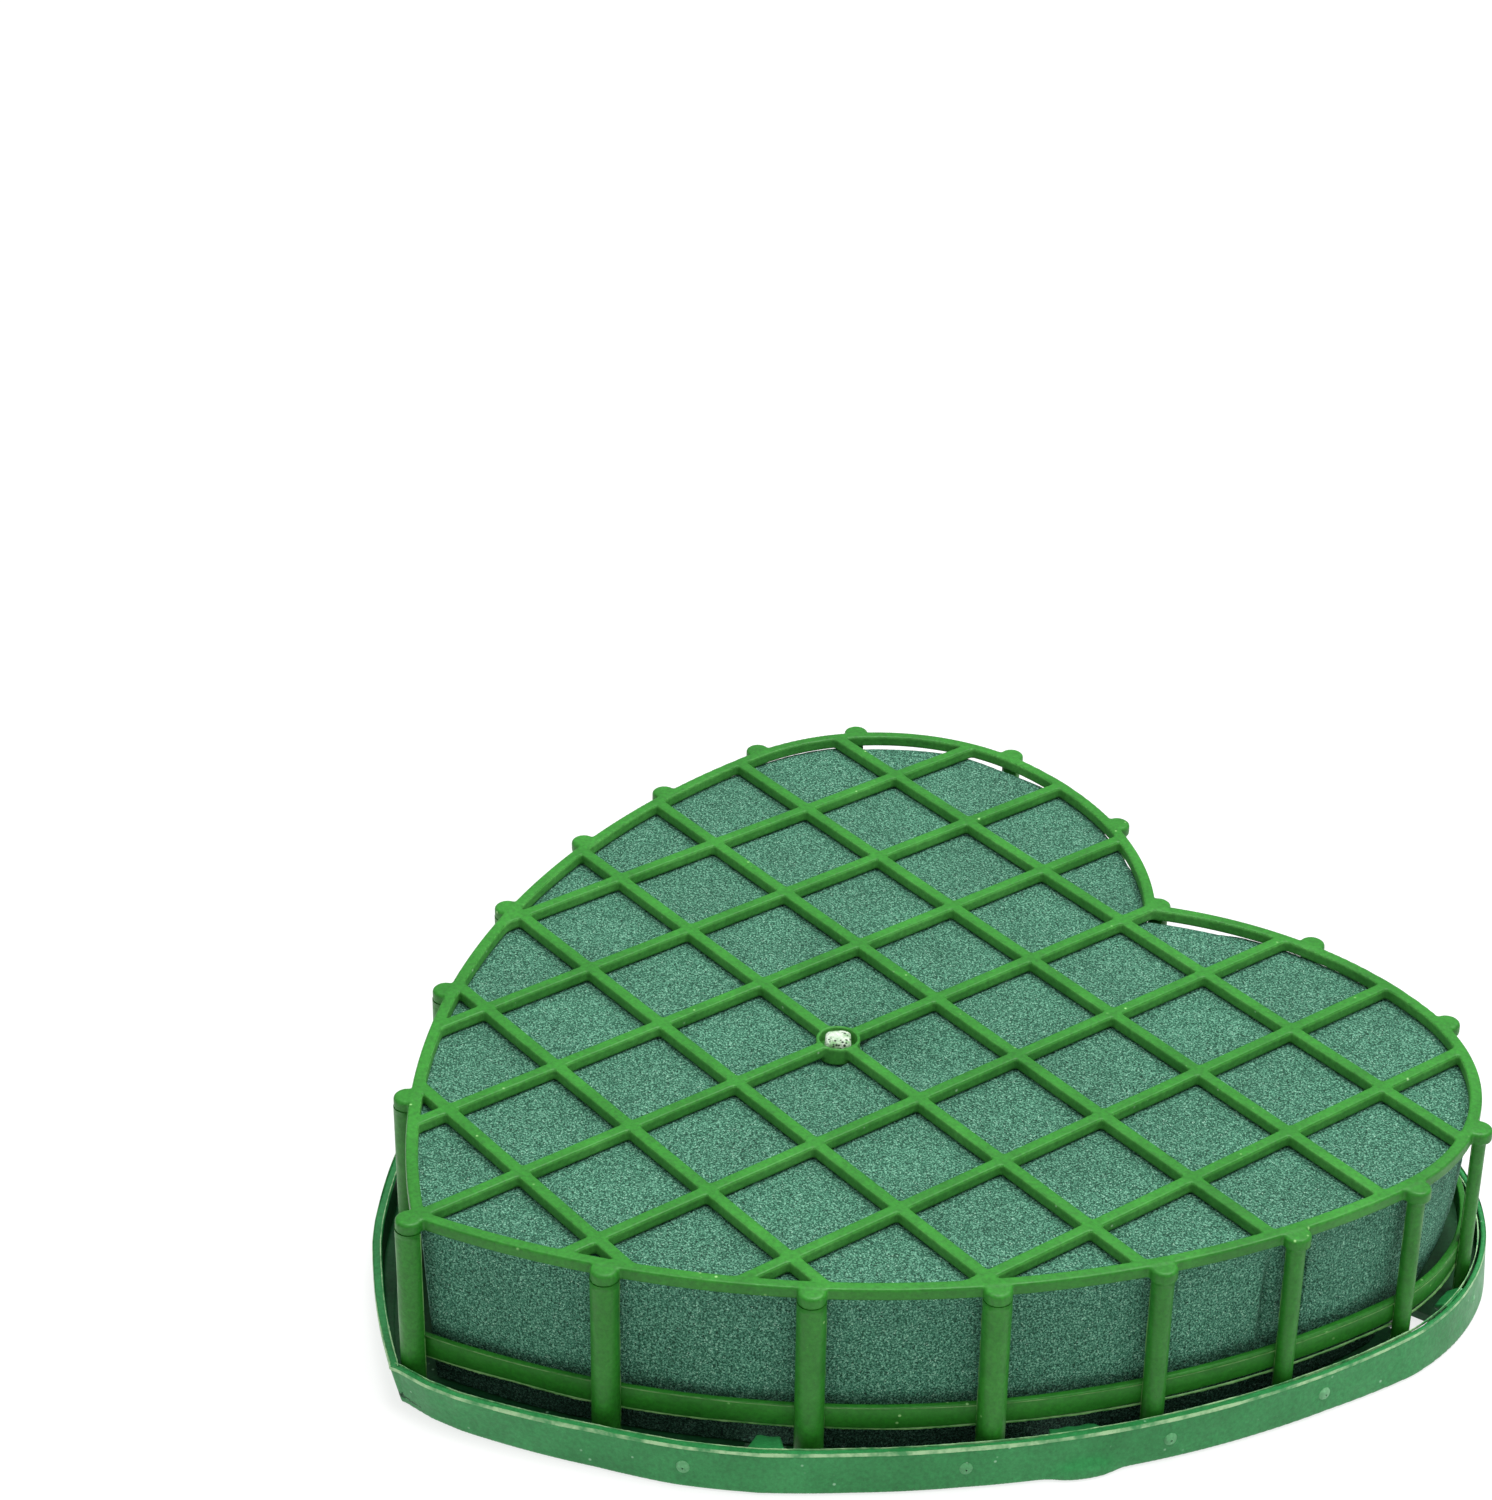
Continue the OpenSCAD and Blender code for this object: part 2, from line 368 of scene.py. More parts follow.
def rounded(d, h, r):
    """Joins a plan distance and a height distance with an edge of radius r."""
    d, h = d + r, h + r
    return np.minimum(np.maximum(d, h), 0) + np.hypot(np.maximum(d, 0), np.maximum(h, 0)) - r


# ---------------------------------------------------------------- materials
class Nodes:
    def __init__(self, name):
        self.material = bpy.data.materials.new(name)
        self.material.use_nodes = True
        self.tree = self.material.node_tree
        self.shader = self.tree.nodes["Principled BSDF"]
        self.coord = self.tree.nodes.new("ShaderNodeTexCoord").outputs["Object"]

    def link(self, out, socket):
        self.tree.links.new(out, socket)

    def noise(self, scale, detail=2.0, rough=0.5, stretch=None):
        n = self.tree.nodes.new("ShaderNodeTexNoise")
        n.inputs["Scale"].default_value = scale
        n.inputs["Detail"].default_value = detail
        n.inputs["Roughness"].default_value = rough
        source = self.coord
        if stretch is not None:
            m = self.tree.nodes.new("ShaderNodeMapping")
            m.inputs["Scale"].default_value = stretch
            self.link(source, m.inputs["Vector"])
            source = m.outputs["Vector"]
        self.link(source, n.inputs["Vector"])
        return n.outputs["Fac"]

    def voronoi(self, scale, out="Distance"):
        n = self.tree.nodes.new("ShaderNodeTexVoronoi")
        n.inputs["Scale"].default_value = scale
        self.link(self.coord, n.inputs["Vector"])
        return n.outputs[out]

    def ramp(self, fac, stops):
        n = self.tree.nodes.new("ShaderNodeValToRGB")
        e = n.color_ramp.elements
        while len(e) < len(stops):
            e.new(0.5)
        for item, (pos, colour) in zip(e, stops):
            item.position = pos
            if not hasattr(colour, "__len__"):
                colour = (colour, colour, colour)
            item.color = (*colour, 1)
        self.link(fac, n.inputs["Fac"])
        return n.outputs["Color"]

    def mix(self, fac, a, b, blend="MIX"):
        n = self.tree.nodes.new("ShaderNodeMix")
        n.data_type = "RGBA"
        n.blend_type = blend
        for value, socket in ((fac, n.inputs[0]), (a, n.inputs[6]), (b, n.inputs[7])):
            if isinstance(value, bpy.types.NodeSocket):
                self.link(value, socket)
            elif hasattr(value, "__len__"):
                socket.default_value = (*value, 1)
            else:
                socket.default_value = value
        return n.outputs[2]

    def bump(self, height, strength, distance):
        n = self.tree.nodes.new("ShaderNodeBump")
        n.inputs["Strength"].default_value = strength
        n.inputs["Distance"].default_value = distance
        self.link(height, n.inputs["Height"])
        return n

    def finish(self, colour, roughness=None, normal=None):
        self.link(colour, self.shader.inputs["Base Color"])
        if roughness is not None:
            self.link(roughness, self.shader.inputs["Roughness"])
        if normal is not None:
            self.link(normal.outputs["Normal"], self.shader.inputs["Normal"])
        return self.material


def plastic(name, dark, mid, light, speck, rough=(0.36, 0.52)):
    """Moulded polyethylene: cloudy colour, a fine mottle, pale specks and a slightly uneven skin."""
    n = Nodes(name)
    cloud = n.ramp(n.noise(70, 3, 0.6), [(0.3, dark), (0.52, mid), (0.75, light)])
    grain = n.ramp(n.noise(1500, 2, 0.7), [(0.3, 0.78), (0.7, 1.18)])
    colour = n.mix(1.0, cloud, grain, "MULTIPLY")
    dots = n.ramp(n.voronoi(420), [(0.06, 1.0), (0.12, 0.0)])
    pick = n.ramp(n.noise(160, 1), [(0.55, 0.0), (0.62, 1.0)])
    dots = n.mix(1.0, dots, pick, "MULTIPLY")
    colour = n.mix(dots, colour, speck)
    roughness = n.ramp(n.noise(260, 3, 0.6), [(0.3, rough[0]), (0.7, rough[1])])
    coarse = n.bump(n.noise(240, 2), 0.35, 0.0004)
    fine = n.bump(n.noise(1700, 2, 0.7), 0.3, 0.00012)
    n.link(coarse.outputs["Normal"], fine.inputs["Normal"])
    n.shader.inputs["Specular IOR Level"].default_value = 0.3
    return n.finish(colour, roughness, fine)


def foam_material():
    n = Nodes("floral_foam")
    grit = n.noise(3300, 3, 0.85)
    colour = n.ramp(grit, [(0.36, (0.002, 0.018, 0.010)), (0.465, (0.022, 0.108, 0.064)),
                           (0.54, (0.060, 0.235, 0.145)), (0.63, (0.25, 0.53, 0.385))])
    cloud = n.ramp(n.noise(60, 3, 0.6), [(0.3, 0.88), (0.7, 1.10)])
    colour = n.mix(1.0, colour, cloud, "MULTIPLY")
    sparkle = n.ramp(n.voronoi(2200), [(0.16, 1.0), (0.28, 0.0)])
    pick = n.ramp(n.noise(800, 1), [(0.54, 0.0), (0.60, 1.0)])
    sparkle = n.mix(1.0, sparkle, pick, "MULTIPLY")
    colour = n.mix(sparkle, colour, (0.34, 0.60, 0.46))
    # painted light: the cut sides are painted a little paler than the pressed top
    split = n.tree.nodes.new("ShaderNodeSeparateXYZ")
    n.link(n.tree.nodes.new("ShaderNodeNewGeometry").outputs["True Normal"], split.inputs["Vector"])
    colour = n.mix(1.0, colour, n.ramp(split.outputs["Z"], [(0.3, 1.32), (0.8, 1.0)]), "MULTIPLY")
    # the foot is painted darker: painted shade under the band, and some dirt
    height = n.tree.nodes.new("ShaderNodeSeparateXYZ")
    n.link(n.coord, height.inputs["Vector"])
    foot = n.tree.nodes.new("ShaderNodeMapRange")
    for name, value in (("From Min", 0.005), ("From Max", 0.011), ("To Min", 0.42), ("To Max", 1.0)):
        foot.inputs[name].default_value = value
    n.link(height.outputs["Z"], foot.inputs["Value"])
    colour = n.mix(1.0, colour, foot.outputs["Result"], "MULTIPLY")
    n.shader.inputs["Roughness"].default_value = 0.8
    n.shader.inputs["Specular IOR Level"].default_value = 0.3
    return n.finish(colour, normal=n.bump(grit, 0.8, 0.0006))


def scar_material():
    n = Nodes("torn_gate")
    colour = n.ramp(n.noise(700, 3, 0.6), [(0.34, (0.16, 0.34, 0.14)), (0.46, (0.42, 0.54, 0.40)),
                                           (0.62, (0.66, 0.72, 0.64))])
    pits = n.ramp(n.voronoi(1700), [(0.30, 1.0), (0.42, 0.0)])
    pick = n.ramp(n.noise(520, 1), [(0.47, 0.0), (0.53, 1.0)])
    colour = n.mix(n.mix(1.0, pits, pick, "MULTIPLY"), colour, (0.012, 0.03, 0.012))
    n.shader.inputs["Roughness"].default_value = 0.7
    return n.finish(colour, normal=n.bump(n.noise(1400, 3, 0.7), 0.9, 0.0004))


def flash_material(name, pale, deep):
    n = Nodes(name)
    colour = n.ramp(n.noise(300, 3, 0.7), [(0.35, deep), (0.6, pale)])
    n.shader.inputs["Roughness"].default_value = 0.5
    return n.finish(colour, normal=n.bump(n.noise(1200, 2), 0.4, 0.0002))


CAGE = plastic("cage_plastic", (0.015, 0.152, 0.011), (0.021, 0.188, 0.015), (0.030, 0.225, 0.021),
               (0.28, 0.56, 0.20))
# paler colour for the upright faces inside the rim: foam dust, and painted light that lifts the shade on
# them
CAGE_DUST_AND_PAINTED_LIGHT = plastic("cage_plastic_dust_and_painted_light", (0.035, 0.20, 0.028), (0.060, 0.28, 0.045), (0.085, 0.33, 0.065),
                     (0.36, 0.58, 0.34), rough=(0.5, 0.7))
TRAY = plastic("tray_plastic", (0.018, 0.19, 0.048), (0.026, 0.235, 0.064), (0.038, 0.28, 0.082),
               (0.25, 0.50, 0.30), rough=(0.34, 0.50))
FOAM = foam_material()
SCAR = scar_material()
CAGE_FLASH = flash_material("cage_flash", (0.16, 0.36, 0.11), (0.05, 0.22, 0.035))
# dark colour for the inside of the tray and its floor: painted shade
TRAY_PAINTED_SHADE = plastic("tray_plastic_painted_shade", (0.006, 0.058, 0.017), (0.009, 0.080, 0.024), (0.015, 0.11, 0.034),
                    (0.25, 0.50, 0.30), rough=(0.4, 0.6))
# paler colour for the pips: a painted highlight
TRAY_PIP_HIGHLIGHT = plastic("tray_plastic_pip_highlight", (0.05, 0.25, 0.085), (0.12, 0.37, 0.16), (0.30, 0.55, 0.34),
                      (0.45, 0.66, 0.46), rough=(0.4, 0.6))
TRAY_FLASH = flash_material("tray_flash", (0.36, 0.58, 0.30), (0.05, 0.26, 0.08))


def finish_piece(obj, body, slot, material, *nodes):
    obj.data.materials.append(material)
    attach(obj, body)
    if nodes:
        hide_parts(*nodes)


# ---------------------------------------------------------------- cage
# Posts on one half, as shares of the half line, and their widths
POST_SITES = [0.103, 0.216, 0.329, 0.403, 0.489, 0.572, 0.666, 0.767, 0.8815]
POST_WIDTHS = [3.4, 3.2, 2.7, 2.8, 2.9, 3.4, 4.3, 4.4, 4.3]
NOTCH_POST_W = 3.4
TIP_POST_W = 4.4


def post_list():
    """Every post as (centre, direction it faces, width, seed)."""
    posts = [(np.array([0, NOTCH]) + MID, 90.0, NOTCH_POST_W, 1),
             (np.array([0, -TIP]) + MID, -90.0, TIP_POST_W, 2)]
    for k, (share, width) in enumerate(zip(POST_SITES, POST_WIDTHS)):
        p, facing = place(share)
        posts.append((p, facing, width, 10 + k))
        posts.append((p * [-1, 1], 180.0 - facing, width, 30 + k))
    return posts


POSTS = post_list()


def build_lattice():
    """Rim, bars, caps and cup in one piece, with rounded edges and small fillets where they meet."""
    step, spare, fillet, edge_round = 0.25, 0.8, 0.45, 0.28
    field = Field([-HEART_W / 2 - 3, -TIP - 4, boss_low[2] - spare],
                  [HEART_W / 2 + 3, NOTCH + 18, TOP_Z + spare], step)
    x, y, z = (a.astype(np.float32) for a in field.axes)
    d = heart_distance(x[:, None], y[None, :]).astype(np.float32)

    def bars(axis):
        near = PITCH * np.clip(np.round(axis / PITCH), -SIDE_BARS, SIDE_BARS)
        return np.abs(axis - near) - BAR_W / 2

    across = np.maximum(bars(y - MID[1])[None, :], d - RIM_MID)
    along = np.maximum(bars(x)[:, None], d - RIM_MID)
    rim = np.abs(d - RIM_MID) - RIM_T / 2
    plan = smooth_min(smooth_min(across, along, fillet), rim, fillet)
    high = np.abs(z - (TOP_Z + BAR_Z) / 2) - (TOP_Z - BAR_Z) / 2
    field.value = rounded(plan[:, :, None], high[None, None, :], edge_round).astype(np.float32)
    # caps of the posts, each with a soft top edge
    around = CAP_D / 2 + 1.1
    for centre, facing, _, _ in POSTS:
        cut, bx, by, bz = field.block([*(centre - around), BAR_Z - spare],
                                      [*(centre + around), TOP_Z + spare])
        r = np.hypot(bx - centre[0], by - centre[1])
        out = (bx - centre[0]) * ray(facing)[0] + (by - centre[1]) * ray(facing)[1]
        top = rounded(r - CAP_D / 2, bz - TOP_Z, 0.55)
        cap = np.maximum(np.maximum(top, BAR_Z - bz), -(out - RIM_MID))
        field.value[cut] = smooth_min(field.value[cut], cap.astype(np.float32), 0.35)
    # the cup in the middle
    foot, lip, rad, thick, base_t = boss_low[2], boss_high[2], (boss_high[0] - boss_low[0]) / 2, 0.5, 0.8
    cut, bx, by, bz = field.block([-5, MID[1] - 5, foot - spare], [5, MID[1] + 5, TOP_Z + spare])
    r = np.hypot(bx, by - MID[1])
    cup = rounded(r - rad, np.abs(bz - (lip + foot) / 2) - (lip - foot) / 2, 0.2)
    hollow = np.maximum(r - rad + thick, foot + base_t - bz)
    value = smooth_min(field.value[cut], cup, 0.3)
    field.value[cut] = smooth_max(value, -hollow, 0.15)
    verts, faces = field.surface()
    obj = mesh_object("cage_lattice", verts, faces)
    finish_piece(obj, "cage", "cage_plastic", CAGE, "top_rim", "cross_bars", "long_bars", "centre_boss")
    # the upright faces inside the rim are dusty from the foam and painted paler, as painted light lifting
    # the shade on them
    centre, normal = face_data(obj)
    inside = heart_distance(centre[:, 0], centre[:, 1]) < RIM_MID
    second_material(obj, CAGE_DUST_AND_PAINTED_LIGHT, (np.abs(normal[:, 2]) < 0.6) & inside)


def build_stub():
    """The torn gate: a squarish stump with a domed, uneven top."""
    rings, turns, shaft_rings = 14, 48, 4
    turned = math.radians(39)
    dome = 0.5
    low, high, rad = stub_low[2], stub_high[2] + 0.45, 0.95 * (stub_high[0] - stub_low[0]) / 2
    verts = []
    for i in range(rings):
        for j in range(turns):
            a = 2 * math.pi * j / turns
            square = (math.cos(a + turned) ** 4 + math.sin(a + turned) ** 4) ** -0.25
            if i < shaft_rings:
                r, h = 1 - 0.02 * i, low + (high - low - dome) * i / (shaft_rings - 1)
            else:
                k = (i - shaft_rings + 1) / (rings - shaft_rings)
                r = 0.94 - 0.93 * k
                wave = 0.07 * math.sin(3 * a + 1.3 + 4 * k) * (1 - k)
                h = high - dome + dome * math.sqrt(1 - (1 - k) ** 2) + wave
            r *= rad * square
            verts.append([r * math.cos(a), r * math.sin(a) + MID[1], h])
    obj = mesh_object("gate_stub_torn", verts, capped_faces(rings, turns))
    finish_piece(obj, "cage", "gate_scar", SCAR, "gate_stub")


def build_posts():
    """Half-round posts, flat inside, slightly tapered, with flash along both flanks."""
    levels = np.concatenate([np.linspace(CAGE_Z, CAGE_Z + 1, 4)[:-1],
                             np.linspace(CAGE_Z + 1, BAR_Z + 0.1, 30)])
    fine = np.linspace(CAGE_Z + 0.5, BAR_Z + 0.05, 90)
    back = BAND_OUT
    verts, faces, fins, fin_faces = [], [], [], []
    for centre, facing, width, seed in POSTS:
        r = np.random.default_rng(seed)
        half = width / 2
        # section: u outward, v along the rim
        open_a = math.degrees(math.acos(back / half))
        angles = np.radians(np.linspace(-open_a, open_a, 25))
        u, v = np.cos(angles) * half, np.sin(angles) * half
        flat_v = np.linspace(v[-1], v[0], 5)[1:-1]
        u = np.concatenate([u, np.full(len(flat_v), back)])
        v = np.concatenate([v, flat_v])
        n_dir = ray(facing)
        t_dir = np.array([-n_dir[1], n_dir[0]])
        base = len(verts)
        wob = smooth_noise(len(levels) * 2, 8, seed)[:len(levels)]
        for k, h in enumerate(levels):
            grow = 1 + 0.012 * wob[k]
            foot = min(1.0, 0.93 + 0.07 * (h - CAGE_Z) / 0.5)
            for uu, vv in zip(u, v):
                p = centre + n_dir * (back + (uu - back) * grow * foot) + t_dir * vv * grow * foot
                verts.append([p[0], p[1], h])
        m = len(u)
        faces += [[base + i for i in f] for f in grid_faces(len(levels), m).tolist()]
        faces.append([base + i for i in range(m)][::-1])
        faces.append([base + (len(levels) - 1) * m + i for i in range(m)])
        # ragged fins of flash along both edges of the flat side
        for side in (-1, 1):
            edge = side * math.sqrt(half ** 2 - back ** 2)
            waves = smooth_noise(len(fine) * 2, 7, seed + 50 * side + 200)[:len(fine)]
            wide = np.clip(0.01 + 0.10 * np.abs(waves) + 0.06 * r.random(len(fine)), 0.01, 0.2)
            b = len(fins)
            for h, w in zip(fine, wide):
                for du, dv in ((-0.02, -0.25), (0.13, -0.2), (0.08, w), (-0.02, w)):
                    p = centre + n_dir * (back + 0.12 + du) + t_dir * (edge + side * dv)
                    fins.append([p[0], p[1], h])
            fin_faces += [[b + i for i in f] for f in grid_faces(len(fine), 4).tolist()]
            fin_faces.append([b, b + 1, b + 2, b + 3])
            e = b + (len(fine) - 1) * 4
            fin_faces.append([e + 3, e + 2, e + 1, e])
    obj = mesh_object("cage_posts", verts, faces)
    finish_piece(obj, "cage", "cage_plastic", CAGE, "posts")
    fin = mesh_object("post_flash", fins, fin_faces, smooth=False)
    finish_piece(fin, "cage", "cage_plastic", CAGE_FLASH)


def band_profile(inner, outer, low, high, r=0.22):
    """Section with rounded corners, as points of (distance from the heart line, height)."""
    pts = []
    for cx, cz, start in ((outer - r, high - r, 0), (inner + r, high - r, 90),
                          (inner + r, low + r, 180), (outer - r, low + r, 270)):
        for a in (0, 30, 60, 90):
            t = math.radians(start + a)
            pts.append((cx + r * math.cos(t), cz + r * math.sin(t)))
    return pts


# Rise of the band on the right
BAND_LIFT = [(0, 0), (0.2, 0.2), (0.3, 0.6), (0.5, 0.6), (0.65, 0.15), (1, 0)]
BAND_WAVE = 0.16


def build_mid_band():
    """The mid band: rounded edges, the lower one wavering more than the upper."""
    profile = band_profile(BAND_IN, BAND_OUT, band_low[2], band_high[2])
    verts = []
    for out, h in profile:
        base, wider = corner_loop(out), corner_loop(out + 1.0)
        n = len(base)
        share = heart_field(base[:, 0], base[:, 1])[1]
        lift = read(BAND_LIFT, share) * (base[:, 0] > 0)
        amount = 1.0 if h < band_low[2] + 1.0 else 0.25
        wave = BAND_WAVE * smooth_noise(n, 24, 3) + 0.3 * BAND_WAVE * smooth_noise(n, 7, 4)
        side = 0.05 * smooth_noise(n, 30, 5 + (out > (BAND_IN + BAND_OUT) / 2))
        verts.append(np.c_[base + (wider - base) * side[:, None], h + amount * wave + lift])
    faces = grid_faces(len(profile), n, close_rows=True)
    obj = mesh_object("cage_mid_band", np.concatenate(verts), faces)
    finish_piece(obj, "cage", "cage_plastic", CAGE, "mid_band")


def build_cage_flash():
    """Fine ragged flash along the edges of the mid band."""
    base, wider = corner_loop(BAND_OUT, step=0.35), corner_loop(BAND_OUT + 1.0, step=0.35)
    n, normal = len(base), wider - base
    verts, faces = [], []
    for h, way, least, most, seed in ((band_high[2], 1, 0.03, 0.10, 22), (band_low[2], -1, 0.02, 0.08, 23)):
        r = np.random.default_rng(seed)
        size = least + (most - least) * np.abs(smooth_noise(n, 9, seed)) + 0.06 * r.random(n)
        wave = BAND_WAVE * smooth_noise(n, 34, 3) if way < 0 else np.zeros(n)
        rows = [(-0.15, 0.22 * -way), (0.03, 0.14 * -way), (1.0, 0.6 * way), (-0.1, 0.45 * way)]
        faces.append(grid_faces(len(rows), n, close_rows=True) + len(verts) * n)
        for k, (a, b) in enumerate(rows):
            scale = size if k > 1 else np.ones(n)
            verts.append(np.c_[base + normal * (a * scale)[:, None], h + b * scale + wave])
    obj = mesh_object("cage_flash_lines", np.concatenate(verts), np.concatenate(faces), smooth=False)
    finish_piece(obj, "cage", "cage_plastic", CAGE_FLASH)


# ---------------------------------------------------------------- foam
# How much further in the foam lies at its top edge and, on the right, at its foot
FOAM_RIGHT = [(0, 1.0), (0.045, 1.0), (0.055, 0.2), (0.07, 0), (1, 0)]
FOAM_LEFT = [(0, 0), (0.05, 0.2), (0.065, 0.5), (0.08, 0.3), (0.1, 0.4), (0.115, 0), (0.17, 0), (0.185, 0.4),
             (0.2, 0.9), (0.22, 1.2), (0.245, 0.7), (0.26, 0.6), (0.28, 0.9), (0.3, 1.2), (0.325, 1.2),
             (0.335, 0.1), (0.36, 0), (1, 0)]
FOOT_RIGHT = [(0, 0), (0.2, 0.5), (0.28, 3), (0.34, 4.2), (0.385, 3), (0.41, 0.9), (0.45, 0.1), (0.55, 0),
              (1, 0)]
# Creases beside one post on the right, as (share of the half line, depth), and their half width
CREASES = [(0.4765, 2.2), (0.4985, 1.5)]
CREASE_W = 0.0030
FOAM_TAPER = 1.5


def build_foam():
    """The foam heart: a cut block that narrows a little downwards, with softened, crumbled edges."""
    edge = BAND_IN - 0.05
    low, high = foam_low[2], foam_high[2] + 0.15
    heights = [low, low + 0.5] + list(np.linspace(low + 1.2, high - 1.4, 44))
    heights += [high - 0.9, high - 0.5, high - 0.12]
    rows = [(edge - FOAM_TAPER * (high - h) / (high - low), h) for h in heights]
    rows.append((edge - 0.15, high))
    rows += [(edge - 0.6 - 0.7 * k, high) for k in range(1, 12)]
    verts = []
    for k, (out, h) in enumerate(rows):
        loop = corner_loop(out, step=0.7, notch_round=0.6, tip_round=0.6)
        n = len(loop)
        inward = corner_loop(out - 1.0, step=0.7, notch_round=0.6, tip_round=0.6) - loop
        if k < len(heights):
            share = heart_field(loop[:, 0], loop[:, 1])[1]
            right = loop[:, 0] >= 0
            size = read_sides(FOAM_RIGHT, FOAM_LEFT, loop[:, 0], share)
            lean = np.where(right, read(FOOT_RIGHT, share), 0)
        rough = np.random.default_rng(90 + k).random(n)
        dent = 0.35 * (0.5 + 0.5 * smooth_noise(n, 33, 60))
        dent = dent + 0.25 * np.clip(smooth_noise(n, 15, 61 + k // 9), 0, 1)
        depth = (high - h) / (high - low)
        near_top = math.exp(-max(high - h, 0) / 5)
        side = lean * depth ** 4 + size * near_top * (out > edge - 3)
        side = side + (0.6 - 0.5 * near_top) * dent + (0.16 - 0.1 * near_top) * rough
        crease = sum(deep * np.exp(-((share - at) / CREASE_W) ** 2) for at, deep in CREASES)
        side = side + np.where(right, crease, 0) * math.sin(math.pi * np.clip(depth, 0, 0.75) / 0.75)
        drop = 0.10 * np.random.default_rng(190 + k).random(n) if h > high - 0.05 else np.zeros(n)
        verts.append(np.c_[loop + inward * side[:, None], h - drop])
    # the top runs on to the middle in shrinking loops
    ring, steps = verts[-1], 24
    centre = np.array([0, MID[1] + 5, high - 0.05])
    for s in range(1, steps):
        t = s / steps
        p = ring * (1 - t) + centre * t
        p[:, 2] = high - 0.10 * np.random.default_rng(300 + s).random(n)
        verts.append(p)
    total = np.concatenate(verts)
    # a shallow hollow under the cup
    d = np.hypot(total[:, 0], total[:, 1] - MID[1])
    dip = np.clip((4.2 - d) / 0.5, 0, 1) * (total[:, 2] > high - 1)
    total[:, 2] -= dip * (foam_high[2] - boss_low[2] + 0.35)
    obj = mesh_object("foam_block", total, capped_faces(len(verts), n), smooth=False)
    finish_piece(obj, "foam", "foam", FOAM, "foam_heart")


# ---------------------------------------------------------------- tray
# Snap lugs and the floor window under each, as (share, length), and the pads and pips on the wall
LUGS = [(0.16, 6.2), (0.36, 5.6), (0.619, 8.6), (0.7895, 6.0)]
WINDOWS = [(0.16, 6.6), (0.368, 7.0), (0.619, 6.6), (0.7895, 6.4)]
PAD_SITES = [0.16, 0.612]
PIP_SITES = [0.06, 0.22, 0.338, 0.4645, 0.5625, 0.6785, 0.8305]
LUG_GAP = 0.3
WINDOW_W = 7.6


def both_sides(sites, out=0.0, shift=0.0, weight=1.0):
    """Place, facing and side (1 right, -1 left) of each site on both halves, moved with the wall's set."""
    for share in sites:
        for side in (1, -1):
            p, facing = place(share, out, shift)
            p = p + ray(facing) * weight * float(wall_set(np.array(side), share))
            yield p * [side, 1], facing if side > 0 else 180.0 - facing, side


